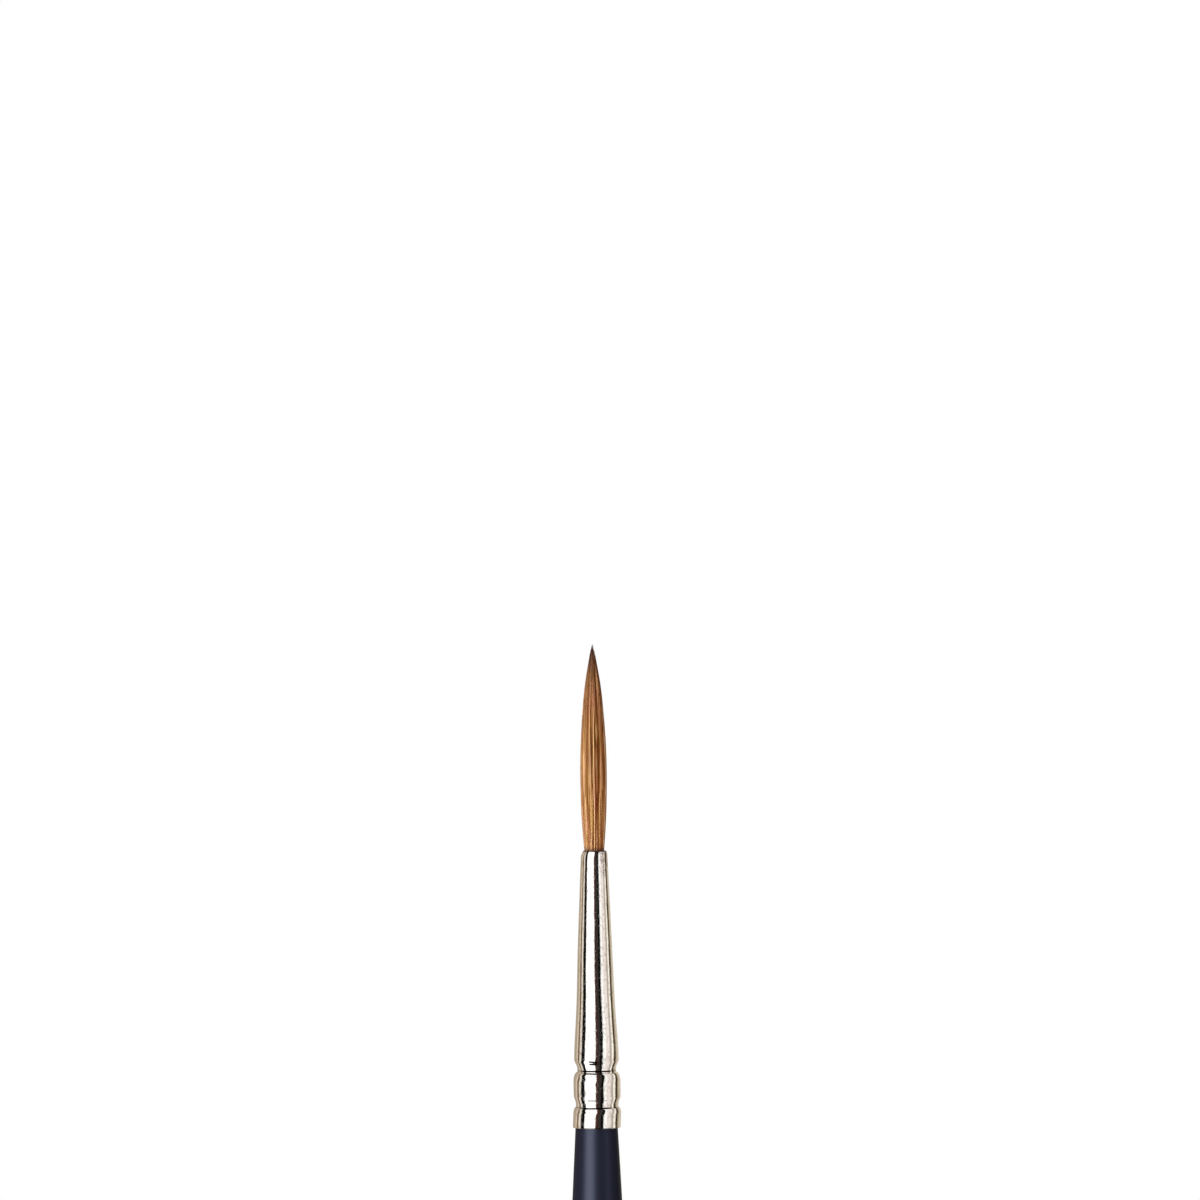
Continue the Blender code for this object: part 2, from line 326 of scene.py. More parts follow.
def painted_dark_line(tree, parts, crease, half_width, left, right):
    """How dark one painted line of dark reflection and shade round the ferrule is: a thin uneven
    line, from left to right.
    """
    uneven = stretched_noise(tree, 500.0, 2.0)
    wander = scaled(tree, uneven, 0.3, 0.7, crease - CREASE_WANDER, crease + CREASE_WANDER)
    away = reckon(tree, "ABSOLUTE", reckon(tree, "SUBTRACT", parts.outputs["Z"], wander))
    line = scaled(tree, away, half_width, 1.4 * half_width, 1.0, 0.0)
    if left is None:
        aside = reckon(tree, "ABSOLUTE", parts.outputs["X"])
        faint = scaled(tree, aside, CREASE_FADE_FROM, CREASE_FADE_TO, 1.0, CREASE_AT_SIDES)
        return product(tree, line, faint)
    across = band(tree, parts.outputs["X"], left, right, CREASE_END)
    front = scaled(tree, parts.outputs["Y"], -CREASE_END, 0.0, 1.0, 0.0)
    return product(tree, line, product(tree, across, front))


def stained_nickel(tree, parts, pitted):
    """The plate's colour: faint clouds, brown stains by the mouth, pits, and painted dark lines of
    reflection and shade at the crimps, the rim and the mouth.
    """
    cloud = stretched_noise(tree, 330.0, 4.0, (1.0, 1.0, 0.5))
    tint = ramp(tree, cloud, ((0.3, (0.88, 0.855, 0.82)), (0.7, (0.95, 0.93, 0.90))))
    near_mouth = scaled(tree, parts.outputs["Z"], MOUTH_HEIGHT - WORN_LENGTH, MOUTH_HEIGHT)
    rightward = scaled(tree, parts.outputs["X"], 0.0, BORE_AT_MOUTH)
    worn = product(tree, near_mouth, rightward)
    specks = stretched_noise(tree, 2600.0, 3.0, (1.0, 1.0, 0.7), 0.6)
    marked = reckon(tree, "MULTIPLY_ADD", worn, WORN_STAINING, specks)
    tint = mixed(tree, scaled(tree, marked, 0.66, 0.74, 0.0, 0.75), tint, STAIN_COLOUR)
    tint = mixed(tree, product(tree, pitted, PIT_STRENGTH), tint, PIT_COLOUR)
    # Paint the dark lines of reflection and shade over the plate
    for height, half_width, left, right, strength in PAINTED_LINES:
        crease = painted_dark_line(tree, parts, RIM_HEIGHT + height, half_width, left, right)
        tint = mixed(tree, product(tree, crease, strength), tint, PAINTED_LINE_COLOUR)
    return tint


def nickel_material():
    """Bright nickel plate: mirror finish with shallow dents, pits, stains and drawing lines."""
    material, tree, shader = principled("nickel_plate", 0.05, 1.0)
    place = node(tree, "ShaderNodeTexCoord").outputs["Object"]
    parts = node(tree, "ShaderNodeSeparateXYZ", Vector=place)
    pits = stretched_noise(tree, 4200.0, 2.0, (1.0, 1.0, 0.6), 0.6)
    pitted = scaled(tree, pits, 0.50, 0.64)
    tree.links.new(stained_nickel(tree, parts, pitted), shader.inputs["Base Color"])
    lines = stretched_noise(tree, 900.0, 4.0, (1.0, 1.0, 0.03))
    grain = scaled(tree, lines, 0.3, 0.8, 0.008, 0.035)
    rough = reckon(tree, "MULTIPLY_ADD", pitted, PIT_ROUGHNESS, grain)
    tree.links.new(rough, shader.inputs["Roughness"])
    dents = stretched_noise(tree, 240.0, 2.0, (1.0, 1.0, 0.5))
    dented = bump(tree, shader, dents, 1.0, DENT_DEPTH)
    ripples = stretched_noise(tree, 1400.0, 3.0, (1.0, 1.0, 0.5))
    rippled = bump(tree, shader, ripples, 1.0, RIPPLE_DEPTH, dented)
    bump(tree, shader, lines, 0.05, 0.03 * MM, rippled)
    return material


def lacquer_material():
    """Dark navy lacquer: satin, with a bluish sheen, faint clouds and orange peel."""
    material, tree, shader = principled("navy_lacquer", 0.36)
    cloud = stretched_noise(tree, 140.0, 4.0, (1.0, 1.0, 0.4))
    tint = ramp(tree, cloud, ((0.3, (0.0050, 0.0051, 0.0104)), (0.7, (0.0066, 0.0067, 0.0134))))
    tree.links.new(tint, shader.inputs["Base Color"])
    shader.inputs["IOR"].default_value = 1.12
    shader.inputs["Specular Tint"].default_value = (0.68, 0.78, 1.0, 1.0)
    tree.links.new(scaled(tree, cloud, 0.3, 0.7, 0.37, 0.43), shader.inputs["Roughness"])
    peel = stretched_noise(tree, 1500.0, 3.0)
    bump(tree, shader, peel, 0.12, 0.04 * MM)
    return material


# Hair colours from pale to dark, and the colour of the tips, which also paints the ferrule's
# shadow on the hair just above the mouth
BELLY_ROSY = (
    (0.432, 0.246, 0.137), (0.238, 0.096, 0.034), (0.117, 0.0320, 0.0086), (0.073, 0.0195, 0.0056))
BELLY_GOLDEN = (
    (0.418, 0.262, 0.098), (0.222, 0.107, 0.020), (0.107, 0.0364, 0.0050), (0.067, 0.0237, 0.0038))
POINT_ROSY = (
    (0.412, 0.196, 0.103), (0.210, 0.073, 0.0258), (0.098, 0.0262, 0.0068), (0.058, 0.0155, 0.0046))
POINT_GOLDEN = (
    (0.398, 0.212, 0.075), (0.196, 0.083, 0.0162), (0.090, 0.0302, 0.0046), (0.052, 0.0185, 0.0034))
TIP_AND_SHADOW_COLOUR = (0.026, 0.010, 0.005, 1.0)


def hair_ramp(tree, tint, shades):
    """Hair colour from a tint, through four shades from pale to dark."""
    light, middle, dark, deep = shades
    return ramp(tree, tint, ((0.0, deep), (0.2, dark), (0.5, middle), (0.85, light)))


def hair_material(name, rosy, golden):
    """Natural hair, rosy in some places and golden in others. Each strand has its own tint, and
    its upper end is darker. The ferrule's shadow is painted on it just above the mouth."""
    material, tree, shader = principled(name, 0.45)
    strand = node(tree, "ShaderNodeAttribute", {"attribute_name": "strand"})
    parts = node(tree, "ShaderNodeSeparateColor", Color=strand.outputs["Color"])
    patches = stretched_noise(tree, 2500.0, 2.0, (1.0, 1.0, 0.05))
    tint = mixed(tree, scaled(tree, patches, 0.40, 0.64),
                 hair_ramp(tree, parts.outputs["Red"], rosy),
                 hair_ramp(tree, parts.outputs["Red"], golden))
    fine = stretched_noise(tree, 4200.0, 3.0, (1.0, 1.0, 0.025))
    tint = mixed(tree, scaled(tree, fine, 0.38, 0.7, 0.0, 0.45), tint, (*rosy[2], 1.0))
    # Darker tips, and the ferrule's painted shadow just above the mouth
    tip = mixed(tree, parts.outputs["Green"], tint, TIP_AND_SHADOW_COLOUR)
    tree.links.new(tip, shader.inputs["Base Color"])
    gloss = scaled(tree, parts.outputs["Red"], 0.15, 0.8, 0.02, 0.18)
    tree.links.new(gloss, shader.inputs["Specular IOR Level"])
    tree.links.new(scaled(tree, fine, 0.3, 0.7, 0.42, 0.54), shader.inputs["Roughness"])
    bump(tree, shader, fine, 0.08, 0.02 * MM)
    return material


def wood_material():
    """Turned birch: long pale grain."""
    material, tree, shader = principled("birch_wood", 0.6)
    grain = stretched_noise(tree, 900.0, 5.0, (1.0, 1.0, 0.04), 0.6)
    tint = ramp(tree, grain, ((0.3, (0.42, 0.25, 0.12)), (0.7, (0.66, 0.46, 0.26))))
    tree.links.new(tint, shader.inputs["Base Color"])
    bump(tree, shader, grain, 0.3, 0.03 * MM)
    return material


def root_hair_material():
    """Resin-soaked hair ends: fine lengthwise streaks."""
    material, tree, shader = principled("root_hair", 0.5)
    streaks = stretched_noise(tree, 2200.0, 4.0, (1.0, 1.0, 0.03))
    tint = ramp(tree, streaks, ((0.3, (0.12, 0.05, 0.02)), (0.7, (0.40, 0.22, 0.10))))
    tree.links.new(tint, shader.inputs["Base Color"])
    bump(tree, shader, streaks, 0.4, 0.03 * MM)
    return material


def cloudy_material(name, first, second, roughness, scale, depth):
    """A cast or spun material: two shades in soft clouds with a fine surface."""
    material, tree, shader = principled(name, roughness)
    cloud = stretched_noise(tree, scale, 4.0)
    tint = ramp(tree, cloud, ((0.35, first), (0.65, second)))
    tree.links.new(tint, shader.inputs["Base Color"])
    bump(tree, shader, cloud, 0.3, depth)
    return material


# ---------------------------------------------------------------- ferrule

FERRULE_SIDES = 160
RIM_STEPS = 4
CRIMP_STEPS = 12
CONE_STEPS = 4
MOUTH_STEPS = 8


def crimp(heights, radius_below, floor_radius, radius_above):
    """A round shoulder down to a sharp corner, the floor, and an eased return."""
    shoulder, corner, floor_end, top = heights
    points = []
    for step in range(CRIMP_STEPS + 1):
        angle = 0.5 * math.pi * step / CRIMP_STEPS
        height = shoulder + (corner - shoulder) * math.sin(angle)
        points.append((height, floor_radius + (radius_below - floor_radius) * math.cos(angle)))
    for step in range(CRIMP_STEPS + 1):
        share = step / CRIMP_STEPS
        radius = floor_radius + (radius_above - floor_radius) * ease(share)
        points.append((floor_end + (top - floor_end) * share, radius))
    return points


def ferrule_line():
    """The ferrule's outer surface, from its lower rim to the edge of its mouth."""
    line = []
    for step in range(RIM_STEPS + 1):
        angle = 0.5 * math.pi * step / RIM_STEPS
        line.append((RIM_ROUNDING * (1.0 - math.cos(angle)),
                     RIM_RADIUS - RIM_ROUNDING * (1.0 - math.sin(angle))))
    line += crimp(LOWER_CRIMP_HEIGHTS, RIM_RADIUS, LOWER_CRIMP_FLOOR, BARREL_RADIUS)
    line += crimp(UPPER_CRIMP_HEIGHTS, BARREL_RADIUS, UPPER_CRIMP_FLOOR, CONE_STATIONS[0][1])
    line += smooth_curve(CONE_STATIONS, CONE_STEPS)[1:]
    start, radius = CONE_STATIONS[-1]
    end = MOUTH_HEIGHT - RIM_HEIGHT
    for step in range(1, MOUTH_STEPS + 1):
        angle = 0.5 * math.pi * step / MOUTH_STEPS
        line.append((start + (end - start) * math.sin(angle),
                     MOUTH_EDGE_RADIUS + (radius - MOUTH_EDGE_RADIUS) * math.cos(angle)))
    return raise_by(line, RIM_HEIGHT)


def wear_corner(vertex, height):
    """Pull a point of the mouth's left corner in to the worn slope."""
    radius = math.hypot(vertex.co.x, vertex.co.y)
    leftness = max(0.0, -vertex.co.x / radius) ** 0.5
    slope = float(np.interp(height, WORN_CORNER_HEIGHTS, WORN_CORNER_RADII))
    if height > WORN_CORNER_HEIGHTS[0] and radius > slope:
        share = 1.0 + (slope / radius - 1.0) * leftness
        vertex.co.x *= share
        vertex.co.y *= share


def bore_line(outside):
    """The ferrule's inner surface, from its lower rim to its mouth: the outer one less the wall."""
    lip_start = RIM_HEIGHT + CONE_STATIONS[-1][0]
    tube = [point for point in outside[RIM_STEPS + 1:] if point[0] < lip_start]
    inside = [(RIM_HEIGHT, RIM_RADIUS - FERRULE_WALL)]
    inside += [(height, radius - FERRULE_WALL) for height, radius in tube]
    inside.append((MOUTH_HEIGHT - LIP_DEPTH, BORE_AT_MOUTH))
    inside.append((MOUTH_HEIGHT, BORE_AT_MOUTH + BORE_EDGE))
    return inside


def make_ferrule():
    """The drawn and crimped tube, with its wall and bore."""
    outside = ferrule_line()
    inside = bore_line(outside)
    mesh = turned_mesh("ferrule_tube", outside + inside[::-1], FERRULE_SIDES, ring=True)
    for vertex in mesh.vertices:
        height = vertex.co.z - RIM_HEIGHT
        wear_corner(vertex, height)
        vertex.co.x += float(np.interp(height, LEAN_HEIGHTS, LEAN_OFFSETS))
    mesh.set_sharp_from_angle(angle=SHARP_ANGLE)
    mesh.materials.append(nickel_material())
    piece = new_piece("ferrule_tube", mesh, "handle")
    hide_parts("ferrule")
    return piece


# ---------------------------------------------------------------- handle

HANDLE_SIDES = 128
COAT_THICKNESS = 0.12 * MM
COAT_STEPS = 5
# The first points of the coat's outer line, round the butt, have no inner ones under them
BUTT_POINTS = 8


def cad_outline(name):
    """The outermost (height, radius) points of a turned CAD node, from bottom to top."""
    rings = {}
    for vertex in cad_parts[name].data.vertices:
        height = round(vertex.co.z, 6)
        radius = math.hypot(vertex.co.x, vertex.co.y)
        rings[height] = max(rings.get(height, 0.0), radius)
    return sorted(rings.items())


def coat_line():
    """The coat's outer and inner surfaces, smooth through the CAD coat's rings, as one line."""
    rings = cad_outline("handle_lacquer")
    low = BUTT_HEIGHT + 1.5 * COAT_THICKNESS
    stations = rings[:1] + [ring for ring in rings if ring[0] > low]
    outside = [(BUTT_HEIGHT, 0.0)] + smooth_curve(stations, COAT_STEPS)
    inside = [(height, radius - COAT_THICKNESS) for height, radius in outside[BUTT_POINTS:]]
    return outside + inside[::-1] + [(BUTT_HEIGHT + COAT_THICKNESS, 0.0)]


def make_handle_coat():
    """The lacquer coat, from the butt to the ferrule."""
    mesh = turned_mesh("handle_coat", coat_line(), HANDLE_SIDES)
    mesh.set_sharp_from_angle(angle=SHARP_ANGLE)
    mesh.materials.append(lacquer_material())
    piece = new_piece("handle_coat", mesh, "handle")
    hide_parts("handle_lacquer")
    return piece


# ---------------------------------------------------------------- hair

STRAND_SIDES = 6
STRAND_STEPS = 34
ROOT_DEPTH = 2.6 * MM
# How far a hair strays from even spacing, how far it swings, in how many waves, and its width
STRAY = 0.35
SWING = 0.025
WAVES = (0.8, 1.8)
WIDTHS = (0.8, 1.2)
# A hair tapers over its upper half, and gets a darker end over its last fifth
TAPER = 0.88
TAPER_CURVE = 1.4
THINNEST = 0.004 * MM
END_DARKENING = 0.35
# The hairs of a layer are buried in the belly and come to the surface between two heights.
# Where the tuft is thinner than this radius, they lie closer to its surface.
BURIED_BELOW = 11.0 * MM
SURFACE_ABOVE = 17.0 * MM
THIN_TUFT_RADIUS = 1.2 * MM
# Below this height some hairs bow aside
KINK_HEIGHT = 11.0 * MM
KINK_TURN = 0.15
# How many hairs are dark ones, and the tints of the dark and the light ones. The dark hairs are
# painted shade: they stand for the shaded gaps between hairs.
SHADED_GAP_SHARE = 0.28
SHADED_GAP_TINTS = (0.02, 0.26)
LIGHT_TINTS = (0.50, 0.94)
# Where the hair darkens to its tip, and how far above the mouth the ferrule's painted shadow
# reaches
TIP_DARK_FROM = 17.0 * MM
TIP_DARK_LENGTH = 8.9 * MM
LIP_SHADOW = 0.45 * MM

LOCK_SEED = 7
LOCK_WIDTHS = (5.0, 11.0)
LOCK_TONES = (-0.15, 0.07)
LOCK_TONE_STRAY = 0.06
LOCK_SWINGS = (0.02, 0.08)
LOCK_SWING_LENGTHS = (8.0, 18.0)
SEAM_DEPTH = 0.035 * MM
# Painted shade: hairs darken towards a lock's edges, where the seams between locks lie in shade
SEAM_SHADE = 0.15

HEART_SIDES = 184
HEART_FLUTES = 46.0
FLUTE_DEPTH = 0.012 * MM
FLUTE_TWIST = 3.0 * MM
HEART_DEPTH = 0.11 * MM
# The heart is tinted dark: painted shade in the gaps between the surface hairs
HEART_SHADOW_TINT = 0.14

TUFT_LINE = smooth_curve(TUFT_STATIONS, 8)
TUFT_HEIGHTS = np.array([point[0] for point in TUFT_LINE])
TUFT_RADII = np.array([point[1] for point in TUFT_LINE])


def tuft_radius(height):
    """The tuft's outer radius at a height above the mouth."""
    return float(np.interp(height, TUFT_HEIGHTS, TUFT_RADII))


class Strands:
    """Collects tapered hair tubes into one mesh that holds a tint along each strand."""

    def __init__(self):
        self.vertices = []
        self.faces = []
        self.colours = []

    def add(self, path, radii, tint, dark_end_and_shadow):
        """One hair: its points, with a radius, a tint and how dark it is at each of them."""
        first = len(self.vertices)
        for place, (point, radius) in enumerate(zip(path, radii)):
            ahead = path[min(place + 1, len(path) - 1)]
            behind = path[max(place - 1, 0)]
            along = (ahead - behind).normalized()
            outward = Vector((point.x, point.y, 0.0))
            if outward.length < 1e-7:
                outward = Vector((1.0, 0.0, 0.0))
            side = along.cross(outward).normalized()
            up = side.cross(along)
            for corner in range(STRAND_SIDES):
                angle = math.tau * corner / STRAND_SIDES
                spoke = side * math.cos(angle) + up * math.sin(angle)
                self.vertices.append(point + spoke * radius)
                self.colours.append((tint[place], dark_end_and_shadow[place], 0.0, 1.0))
        rows = len(path)
        for row in range(rows - 1):
            base = first + row * STRAND_SIDES
            for corner in range(STRAND_SIDES):
                after = (corner + 1) % STRAND_SIDES
                self.faces.append((base + corner, base + after,
                                   base + STRAND_SIDES + after, base + STRAND_SIDES + corner))
        last = first + (rows - 1) * STRAND_SIDES
        self.faces.append(tuple(range(first + STRAND_SIDES - 1, first - 1, -1)))
        self.faces.append(tuple(range(last, last + STRAND_SIDES)))

    def mesh(self, name):
        """The finished mesh."""
        mesh = bpy.data.meshes.new(name)
        mesh.from_pydata(self.vertices, [], self.faces)
        mesh.shade_smooth()
        layer = mesh.color_attributes.new("strand", "FLOAT_COLOR", "POINT")
        layer.data.foreach_set("color", np.array(self.colours, np.float32).ravel())
        return mesh


def make_locks(seed):
    """Locks of uneven width round the tuft, darker and lighter by turns. Each has the angles in
    degrees where it starts and ends, its tone, and the size, length and start of its swing."""
    dice = random.Random(seed)
    locks = []
    start = 0.0
    while start < 360.0:
        end = min(360.0, start + dice.uniform(*LOCK_WIDTHS))
        tone = LOCK_TONES[len(locks) % 2] + dice.uniform(-LOCK_TONE_STRAY, LOCK_TONE_STRAY)
        swing = dice.uniform(*LOCK_SWINGS)
        length = dice.uniform(*LOCK_SWING_LENGTHS) * MM
        locks.append((start, end, tone, swing, length, dice.uniform(0.0, math.tau)))
        start = end
    return locks


def lock_at(locks, angle):
    """The lock at an angle round the tuft, and 0 in its middle to 1 at its edges."""
    place = math.degrees(angle) % 360.0
    for lock in locks:
        start, end = lock[:2]
        if place <= end:
            return lock, abs(2.0 * (place - start) / (end - start) - 1.0)
    return locks[0], 1.0


def lock_tone(lock, height):
    """How light a lock is at a height above the mouth."""
    tone, swing, length, start = lock[2:]
    return tone + swing * math.sin(math.tau * height / length + start)


# Darker and paler streaks (0 is +X, -90 faces the camera), some of them painted light and shade
# as marked: heights above the mouth in mm, the angle in degrees at each, the width in degrees,
# and how dark it is (below 0: paler)
STREAKS = (
    ((-1.0, 1.0, 5.0, 7.5, 11.0, 14.5), (-80, -79, -77, -71, -71, -75), 4.6, 0.92),
    # Painted shade down the tuft's right side towards the point
    ((12.5, 15.5, 17.0, 20.0, 22.0, 24.5), (-81, -79, -75, -73, -66, -45), 3.8, 0.65),
    ((12.5, 18.0, 21.5), (-68, -56, -38), 3.5, 0.35),
    ((1.5, 3.7, 7.5), (-58, -57, -56), 3.0, 0.40),
    ((-1.0, 4.0, 9.0, 11.0, 16.5), (-39, -31, -38, -38, -27), 5.0, 0.25),
    ((7.5, 11.0, 16.5), (-98, -98, -94), 2.8, 0.18),
    ((0.5, 3.7, 9.0, 13.0, 21.5), (-111, -114, -122, -120, -116), 3.5, 0.28),
    ((11.5, 16.0, 20.5), (-142, -138, -137), 4.0, 0.30),
    ((-1.0, 3.0), (-126, -121), 4.0, 0.25),
    ((0.0, 3.7, 6.5), (-73, -68, -67), 3.5, -0.18),
    ((6.5, 9.4, 12.0), (-62, -62, -58), 3.5, -0.18),
    ((6.0, 9.4, 13.0, 17.0), (-81, -78, -74, -69), 3.0, -0.18),
    ((8.0, 12.0, 15.0, 22.0), (-108, -106, -104, -103), 4.0, -0.15),
    ((10.0, 15.0, 20.0), (-90, -87, -85), 3.0, -0.12),
    # Painted light on the tuft's lit left side
    ((0.0, 4.0, 12.5), (-146, -143, -138), 8.0, -0.08),
    # Painted shade on the right side of the upper tuft, turned away from the light
    ((14.0, 18.0, 22.0, 27.0), (-8, -12, -22, -28), 16.0, 0.30),
    ((3.0, 19.0), (30, 26), 4.0, 0.40),
    ((8.0, 23.0), (75, 80), 4.0, 0.40),
    ((1.0, 13.0), (118, 114), 4.0, 0.40),
    ((9.0, 22.0), (160, 165), 4.0, 0.40),
)
STREAK_FADE = 1.2


def streak(angle, height):
    """How much the streaks darken the hair at a place."""
    dark = 0.0
    level = height / MM
    for heights, angles, width, depth in STREAKS:
        fade = held(min(level - heights[0], heights[-1] - level) / STREAK_FADE)
        if fade > 0.0:
            centre = math.radians(float(np.interp(level, heights, angles)))
            off = math.remainder(angle - centre, math.tau)
            dark += depth * fade * math.exp(-(off / math.radians(width)) ** 2)
    return dark


def dark_tip_and_lip_shadow(height):
    """How far the hair has turned to its dark shade: its own darker point, and the ferrule's
    shadow painted on it just above the mouth.
    """
    upper = held((height - TIP_DARK_FROM) / TIP_DARK_LENGTH)
    # The ferrule's shadow, painted on the hair just above the mouth
    inside = held((LIP_SHADOW - height) / LIP_SHADOW)
    return max(0.8 * upper ** 2.0, 0.9 * inside)


def half_width(width, share, outer):
    """Half of a hair's width at a share of its length. The tuft's own radius limits it."""
    taper = 1.0 - TAPER * max(0.0, (share - 0.5) / 0.5) ** TAPER_CURVE
    return min(0.5 * width * taper, 0.3 * outer + THINNEST)


def sunk(depth, buried, height, outer, from_middle):
    """How far under the tuft's surface a hair lies: more in the belly and at a lock's edges."""
    above = held((height - BURIED_BELOW) / (SURFACE_ABOVE - BURIED_BELOW))
    sink = depth + buried * (1.0 - above) + SEAM_DEPTH * from_middle ** 2
    return sink * min(1.0, outer / THIN_TUFT_RADIUS)


def bow(kink, height):
    """How far a hair has turned aside at a height above the mouth."""
    share = held(height / KINK_HEIGHT)
    return kink * math.sin(math.pi * share) * (1.0 - share)


def lay_hairs(strands, locks, count, shortest, longest, depth_range, buried, thickness, seed):
    """Lay hairs evenly round the tuft, each with its own tip height. They lie close to its
    surface at the top, and can be buried deeper in the belly."""
    dice = random.Random(seed)
    for number in range(count):
        angle = math.tau * (number + dice.uniform(-STRAY, STRAY)) / count
        tip = dice.uniform(shortest, longest)
        depth = dice.uniform(*depth_range)
        swing = dice.uniform(-SWING, SWING)
        phase = dice.uniform(0.0, math.tau)
        waves = dice.uniform(*WAVES)
        kink = dice.gauss(0.0, KINK_TURN)
        # A dark hair is painted shade for a gap between hairs
        is_shaded_gap = dice.random() < SHADED_GAP_SHARE
        own_tint = dice.uniform(*(SHADED_GAP_TINTS if is_shaded_gap else LIGHT_TINTS))
        width = thickness * dice.uniform(*WIDTHS)
        lock, from_middle = lock_at(locks, angle)
        path = []
        radii = []
        tint = []
        dark_end_and_shadow = []
        for step in range(STRAND_STEPS + 1):
            share = step / STRAND_STEPS
            height = -ROOT_DEPTH + (tip + ROOT_DEPTH) * share
            outer = tuft_radius(height)
            half = half_width(width, share, outer)
            reach = max(0.0, outer - half - sunk(depth, buried, height, outer, from_middle))
            turn = angle + swing * math.sin(waves * math.tau * share + phase)
            turn += bow(kink, height)
            path.append(Vector((reach * math.cos(turn), reach * math.sin(turn),
                                MOUTH_HEIGHT + height)))
            radii.append(half)
            light = lock_tone(lock, height) + own_tint - streak(turn, height)
            # Painted shade at the seams between locks
            tint.append(held(light - SEAM_SHADE * from_middle ** 3))
            end = END_DARKENING * max(0.0, share - 0.8) / 0.2
            dark_end_and_shadow.append(min(1.0, dark_tip_and_lip_shadow(height) + end))
        strands.add(path, radii, tint, dark_end_and_shadow)


def make_hair(name, layers, material, replaced):
    """One piece of hair from several layers of strands."""
    strands = Strands()
    locks = make_locks(LOCK_SEED)
    for layer in layers:
        lay_hairs(strands, locks, **layer)
    mesh = strands.mesh(name)
    mesh.materials.append(material)
    piece = new_piece(name, mesh, None)
    bend_tuft(piece)
    if replaced:
        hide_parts(replaced)
    return piece


def bend_tuft(piece):
    """Bake a piece of the tuft's placement into its mesh."""
    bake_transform(piece)


def make_hair_heart(material):
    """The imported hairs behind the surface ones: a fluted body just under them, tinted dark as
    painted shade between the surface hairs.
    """
    line = [(height, radius - HEART_DEPTH) for height, radius in TUFT_LINE
            if height > -ROOT_DEPTH and radius > HEART_DEPTH + 0.02 * MM]
    line = raise_by([(line[0][0], 0.0)] + line + [(line[-1][0] + 0.5 * MM, 0.0)], MOUTH_HEIGHT)

    def flutes(angle, height):
        return FLUTE_DEPTH * math.sin(HEART_FLUTES * angle + height / FLUTE_TWIST)

    mesh = turned_mesh("hair_heart", line, HEART_SIDES, wobble=flutes)
    locks = make_locks(LOCK_SEED)
    layer = mesh.color_attributes.new("strand", "FLOAT_COLOR", "POINT")
    colours = []
    for vertex in mesh.vertices:
        height = vertex.co.z - MOUTH_HEIGHT
        angle = math.atan2(vertex.co.y, vertex.co.x)
        tone = HEART_SHADOW_TINT + lock_tone(lock_at(locks, angle)[0], height)
        colours.append((max(0.0, tone), dark_tip_and_lip_shadow(height), 0.0, 1.0))
    layer.data.foreach_set("color", np.array(colours, np.float32).ravel())
    mesh.materials.append(material)
    piece = new_piece("hair_heart", mesh, None)
    bend_tuft(piece)
    return piece


def make_tuft():
    """The heart, the shorter belly hairs and the long hairs that make the point."""
    belly = hair_material("sable_belly_hair", BELLY_ROSY, BELLY_GOLDEN)
    point = hair_material("sable_point_hair", POINT_ROSY, POINT_GOLDEN)
    belly_layers = (
        {"count": 78, "shortest": 13.0 * MM, "longest": 20.5 * MM,
         "depth_range": (-0.05 * MM, -0.02 * MM), "buried": 0.0, "thickness": 0.15 * MM,
         "seed": 11},
        {"count": 78, "shortest": 9.0 * MM, "longest": 17.0 * MM,
         "depth_range": (0.03 * MM, 0.05 * MM), "buried": 0.02 * MM, "thickness": 0.14 * MM,
         "seed": 12},
    )
    point_layers = (
        {"count": 72, "shortest": 20.5 * MM, "longest": 25.2 * MM,
         "depth_range": (0.0, 0.03 * MM), "buried": 0.06 * MM, "thickness": 0.145 * MM,
         "seed": 21},
        {"count": 40, "shortest": 24.6 * MM, "longest": 25.9 * MM,
         "depth_range": (0.0, 0.03 * MM), "buried": 0.07 * MM, "thickness": 0.12 * MM,
         "seed": 22},
    )
    return [
        make_hair_heart(belly),
        make_hair("belly_strands", belly_layers, belly, "belly_hair"),
        make_hair("point_strands", point_layers, point, "point_hair"),
    ]


# ---------------------------------------------------------------- hidden CAD pieces

def dress_cad_nodes():
    """Give the pieces inside the ferrule and the coat their own materials."""
    looks = {
        "handle_wood": wood_material(),
        "handle_glue": cloudy_material("amber_adhesive", (0.42, 0.25, 0.07), (0.60, 0.40, 0.15),
                                       0.4, 900.0, 0.02 * MM),
        "root_plug": cloudy_material("root_resin", (0.36, 0.23, 0.09), (0.52, 0.38, 0.19),
                                     0.25, 600.0, 0.01 * MM),
        "hair_roots": root_hair_material(),
        "binding_thread": cloudy_material("waxed_thread", (0.55, 0.48, 0.36), (0.78, 0.72, 0.58),
                                          0.8, 5200.0, 0.03 * MM),
    }
    for name, material in looks.items():
        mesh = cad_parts[name].data
        mesh.materials.clear()
        mesh.materials.append(material)


# ---------------------------------------------------------------- stage, light and camera

